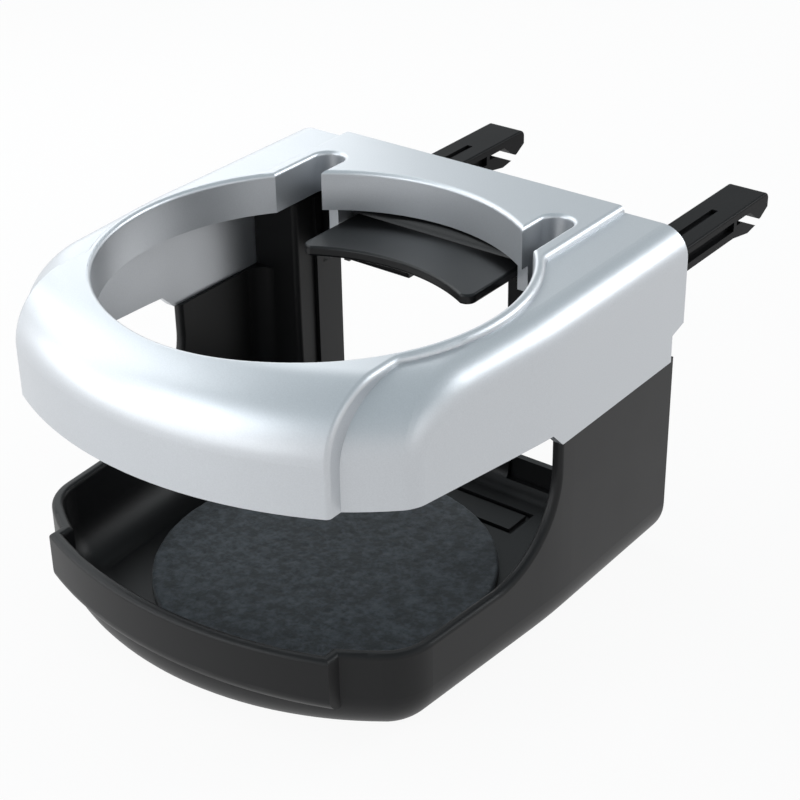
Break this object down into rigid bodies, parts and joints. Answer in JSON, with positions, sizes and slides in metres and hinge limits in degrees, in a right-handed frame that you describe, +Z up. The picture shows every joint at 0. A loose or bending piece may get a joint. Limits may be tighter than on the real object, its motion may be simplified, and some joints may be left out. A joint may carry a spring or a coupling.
{
  "type": "car cup holder",
  "caption": "Vent-mounted car cup holder: silver ring frame over a black tray with swept cheeks, a sprung flap that steadies narrow cups, and sliding louvre clips behind.",
  "frame": {"origin": "on the cup axis, at the flat underside of the tray", "axes": "+Z up along the cup axis, +Y to the rear, towards the vent clips, +X to the right from the front"},
  "size_m": [0.092, 0.1515, 0.0675],
  "materials": {
    "silver_paint": "satin silver paint on moulded plastic",
    "black_plastic": "satin",
    "felt": "matt felt",
    "steel": "bright"
  },
  "bodies": {
    "holder": {"ring_frame": "silver_paint", "base_tray": "black_plastic", "cup_pad": "felt", "flap_pin": "steel", "flap_spring": "steel", "rear_cover": "black_plastic", "rear_cover_screws": "steel", "frame_screws": "steel"},
    "flap": {"cup_flap": "black_plastic"},
    "left_clip": {"vent_clip_left": "black_plastic"},
    "right_clip": {"vent_clip_right": "black_plastic"}
  },
  "joints": [
    {"name": "flap_hinge", "type": "hinge", "parent": "holder", "child": "flap", "pos_m": [0, 0.039, 0.0565], "axis": [1, 0, 0], "range_deg": [0, 85], "stiffness_Nm_per_rad": 0.004, "springref_deg": -34.38, "deforming": ["flap_spring"]},
    {"name": "left_clip_slide", "type": "slide", "parent": "holder", "child": "left_clip", "axis": [-1, 0, 0], "range_m": [-0.01, 0.004]},
    {"name": "right_clip_slide", "type": "slide", "parent": "holder", "child": "right_clip", "axis": [1, 0, 0], "range_m": [-0.01, 0.004]}
  ]
}
